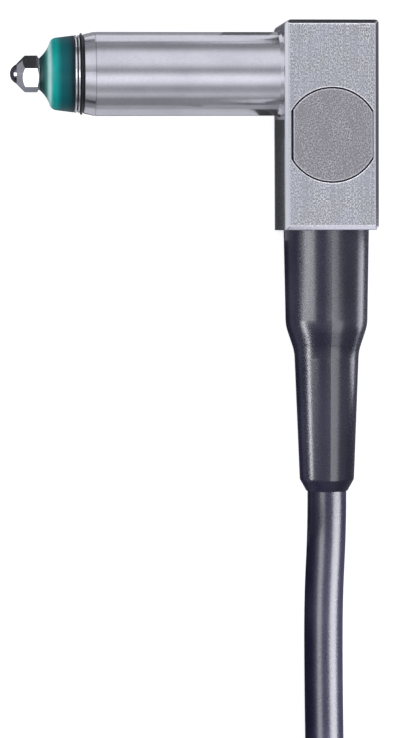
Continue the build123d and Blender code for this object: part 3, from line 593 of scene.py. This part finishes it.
# The studio round the object, as brightness against the angle from straight up, towards +Y positive
STUDIO = [
    (-180, 0.3), (-98, 0.5), (-92, 0.25), (-81, 0.27), (-74, 0.34), (-67, 0.49), (-61, 0.6), (-51, 0.43),
    (-45, 0.37), (-39, 0.42), (-33, 0.62), (-28, 0.81), (-22, 0.98), (-16, 1.05), (-11, 1.0), (-5, 0.78),
    (0, 0.54), (5, 0.4), (9, 0.39), (17, 0.6), (22, 0.76), (30, 0.86), (46, 0.86), (54, 0.83), (61, 0.7),
    (67, 0.48), (74, 0.31), (82, 0.28), (89, 0.36), (97, 0.62), (110, 0.8), (180, 0.3),
]
STUDIO_TINT = (0.975, 0.975, 1.09)

# Cards that show only in reflections, by two opposite corners in millimetres, and how bright each one is
# The dim cards are painted shade: dark sheets on the floor and as walls beside the pieces, standing in for
# shadow in reflections; the bright cards light those reflections like lamps
CARDS = {
    "card_above_stem_near": ((-26, 5, 0), (6, 11, 0), 0.36),
    "card_above_stem": ((-26, 11, 0), (6, 60, 0), 0.84),
    "card_below_stem_near": ((-26, -16, 0), (-4.6, -6, 0), 0.6),
    "card_below_stem": ((-26, -45, 0), (-4.6, -16, 0), 0.42),
    "card_stem_wall": ((-26, -45, 0), (-4.6, -45, 21), 0.26),
    "card_under_stem": ((-23, -6, 0.03), (-5, 5, 0.03), 0.3),
    "card_above_block": ((-3.4, 5.3, 0.05), (12, 34, 0.05), 0.05),
    "card_above_root": ((-9.5, 4.2, 0.06), (-4.6, 11, 0.06), 0.14),
    "card_block_wall": ((-1.9, 34, 0), (12, 34, 10), 0.05),
    "card_root_wall": ((-11, -16, 0), (-4.4, -16, 5.5), 0.4),
    "card_left_of_block": ((-6, -16, 0.05), (-4.6, -4.2, 0.05), 0.05),
    "card_left_of_boot": ((-10, -45, 0.05), (-4.4, -16, 0.05), 0.03),
    "card_left_of_cable": ((-30, -110, 0), (-2.5, -46, 0), 0.03),
    "card_cable_wall": ((-30, -110, 0), (-30, -46, 14), 0.03),
    "card_tip": ((-34, -2, 0), (-28, 30, 0), 0.06),
    "card_tip_wall": ((-34, 8, 0), (-27.45, 8, 8), 0.04),
    "card_far_top": ((8, 60, 0), (50, 300, 0), 2.1),
    "card_far_bottom": ((24, -250, 0), (60, -250, 60), 1.3),
    "card_right_of_block": ((28, -14, 0), (140, 12, 0), 0.14),
    "card_right_of_boot": ((18, -33, 0), (34, -16.5, 0), 8.5),
    "card_boot_wall": ((34, -33, 0), (34, -16.5, 7), 6.5),
}


def make_floor():
    """A plain pale floor, bright enough to come out white around the object."""
    bpy.ops.mesh.primitive_plane_add(size=FLOOR_SIZE, location=FLOOR_PLACE)
    floor = bpy.context.object
    floor.name = "floor"
    s = Surface("floor", (0.8, 0.8, 0.8), 0.0, 0.9)
    glow = s.nodes.new("ShaderNodeEmission")
    glow.inputs["Strength"].default_value = FLOOR_GLOW
    both = s.nodes.new("ShaderNodeAddShader")
    s.link(s.shader.outputs["BSDF"], both.inputs[0])
    s.link(glow.outputs["Emission"], both.inputs[1])
    dim = s.nodes.new("ShaderNodeBsdfDiffuse")
    dim.inputs["Color"].default_value = FLOOR_TONE
    rays = s.nodes.new("ShaderNodeLightPath")
    choice = s.nodes.new("ShaderNodeMixShader")
    s.link(rays.outputs["Is Camera Ray"], choice.inputs["Fac"])
    s.link(dim.outputs["BSDF"], choice.inputs[1])
    s.link(both.outputs["Shader"], choice.inputs[2])
    s.link(choice.outputs["Shader"], s.nodes["Material Output"].inputs["Surface"])
    floor.data.materials.append(s.material)


def make_cards():
    """Flat glowing cards, each a rectangle along two of the axes, which only reflections show; the dim ones
    are painted shade in those reflections.
    """
    for name, (low, high, level) in CARDS.items():
        # A card that is flat in X stands along Y
        second = (high[0], low[1], low[2]) if low[0] < high[0] else (low[0], high[1], low[2])
        fourth = tuple(a + b - c for a, b, c in zip(low, high, second))
        corners = [tuple(c * MM for c in corner) for corner in (low, second, high, fourth)]
        mesh = bpy.data.meshes.new(name)
        mesh.from_pydata(corners, [], [(0, 1, 2, 3)])
        material = bpy.data.materials.new(name)
        material.use_nodes = True
        nodes, links = material.node_tree.nodes, material.node_tree.links
        glow = nodes.new("ShaderNodeEmission")
        glow.inputs["Color"].default_value = (*STUDIO_TINT, 1)
        glow.inputs["Strength"].default_value = level
        links.new(glow.outputs["Emission"], nodes["Material Output"].inputs["Surface"])
        mesh.materials.append(material)
        card = bpy.data.objects.new(name, mesh)
        card.visible_camera = False
        card.visible_diffuse = False
        card.visible_shadow = False
        bpy.context.collection.objects.link(card)


def make_studio():
    """The world: the studio's bands for the object, and an even backdrop for the camera."""
    world = bpy.data.worlds.new("studio")
    bpy.context.scene.world = world
    world.use_nodes = True
    nodes, links = world.node_tree.nodes, world.node_tree.links
    place = nodes.new("ShaderNodeTexCoord")
    split = nodes.new("ShaderNodeSeparateXYZ")
    links.new(place.outputs["Generated"], split.inputs["Vector"])
    angle = nodes.new("ShaderNodeMath")
    angle.operation = "ARCTAN2"
    links.new(split.outputs["Y"], angle.inputs[0])
    links.new(split.outputs["Z"], angle.inputs[1])
    turn = nodes.new("ShaderNodeMapRange")
    turn.inputs["From Min"].default_value = -pi
    turn.inputs["From Max"].default_value = pi
    links.new(angle.outputs["Value"], turn.inputs["Value"])
    ramp = nodes.new("ShaderNodeValToRGB")
    ramp.color_ramp.interpolation = "EASE"
    tones = [(degree, [level * tint for tint in STUDIO_TINT]) for degree, level in STUDIO]
    fill_ramp(ramp, [((degree + 180) / 360, tone) for degree, tone in tones])
    links.new(turn.outputs["Result"], ramp.inputs["Fac"])
    background = nodes["Background"]
    links.new(ramp.outputs["Color"], background.inputs["Color"])
    backdrop = nodes.new("ShaderNodeBackground")
    backdrop.inputs["Color"].default_value = BACKDROP_TONE
    rays = nodes.new("ShaderNodeLightPath")
    choice = nodes.new("ShaderNodeMixShader")
    links.new(rays.outputs["Is Camera Ray"], choice.inputs["Fac"])
    links.new(background.outputs["Background"], choice.inputs[1])
    links.new(backdrop.outputs["Background"], choice.inputs[2])
    links.new(choice.outputs["Shader"], nodes["World Output"].inputs["Surface"])


LAMP_COLOUR = (0.97, 0.965, 1.0)
BLOCK = ["outlet_housing", "access_cover"]
# Soft lights, each for some of the pieces only: the pieces, the place in X and Y that the light aims at, how
# far it leans from straight up towards +Y and towards +X, its distance, its size in X and Y, its brightness
LAMPS = {
    "skin_light": (["bellows_skin"], (-27, 0), (0, -50), 90, (30, 60), 4.0),
    "skin_low": (["bellows_skin"], (-27, 0), (0, -86), 90, (30, 90), 4.0),
    "ball_light": (["contact_ball"], (-29, 0), (-5, -60), 60, (36, 34), 12.0),
    "tip_light": (["contact_tip"], (-29, 0), (-28, 0), 80, (40, 24), 1.2),
    "ring_light": (["clamp_rings"], (-24.3, 0), (0, -14), 60, (40, 26), 2.5),
    "block_left": (["outlet_housing"], (0, -5), (0, -82), 150, (40, 90), 0.35),
    "edge_top": (BLOCK, (0, -5), (38, 0), 150, (120, 14), 6.0),
    "edge_bottom": (BLOCK, (0, -5), (-38, 0), 150, (120, 14), 4.0),
    "boot_left_thick": (["strain_relief"], (0, -22), (0, -54), 80, (44, 22), 11.5),
    "boot_left_thin": (["strain_relief"], (0, -62), (0, -90), 80, (60, 62), 28.0),
    "boot_right_thick": (["strain_relief"], (0, -22), (0, 11), 80, (38, 22), 6.3),
    "boot_right_thin": (["strain_relief"], (0, -62), (0, 22), 80, (46, 62), 5.6),
    "cable_right": (["cable"], (0, -90), (0, 54), 80, (66, 100), 19.5),
    "cable_left": (["cable"], (0, -90), (0, -34), 80, (38, 100), 9.5),
}


def make_lights():
    """The lights above, in millimetres and degrees. The camera doesn't see them."""
    for name, (receivers, centre, (lean, towards), distance, size, brightness) in LAMPS.items():
        light = bpy.data.lights.new(name, "AREA")
        light.shape = "RECTANGLE"
        light.size, light.size_y = (length * MM for length in size)
        light.color = LAMP_COLOUR
        light.energy = brightness * pi * light.size * light.size_y
        lamp = bpy.data.objects.new(name, light)
        lamp.rotation_euler = Euler((radians(-lean), radians(towards), 0))
        middle = Vector((*centre, STEM_HEIGHT))
        lamp.location = (middle + lamp.rotation_euler.to_matrix() @ Vector((0, 0, distance))) * MM
        lamp.visible_camera = False
        bpy.context.collection.objects.link(lamp)
        lit = bpy.data.collections.new(name)
        for receiver in receivers:
            lit.objects.link(frame["nodes"].get(receiver) or bpy.data.objects[receiver])
        lamp.light_linking.receiver_collection = lit


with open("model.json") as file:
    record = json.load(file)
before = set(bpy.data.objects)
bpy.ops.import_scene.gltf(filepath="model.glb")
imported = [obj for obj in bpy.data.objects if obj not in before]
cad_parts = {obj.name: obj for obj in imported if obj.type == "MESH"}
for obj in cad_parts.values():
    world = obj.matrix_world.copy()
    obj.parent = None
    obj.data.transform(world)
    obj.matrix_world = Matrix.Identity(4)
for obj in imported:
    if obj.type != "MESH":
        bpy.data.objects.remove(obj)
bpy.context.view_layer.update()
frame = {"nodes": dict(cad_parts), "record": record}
make_camera()
materials = make_materials()
dress_nodes(materials)
make_cable(materials["cable_jacket"])
make_bellows(materials["green_rubber"])
make_spring()
make_floor()
make_cards()
make_studio()
make_lights()
bpy.context.scene.view_settings.view_transform = "Standard"
bpy.context.view_layer.update()
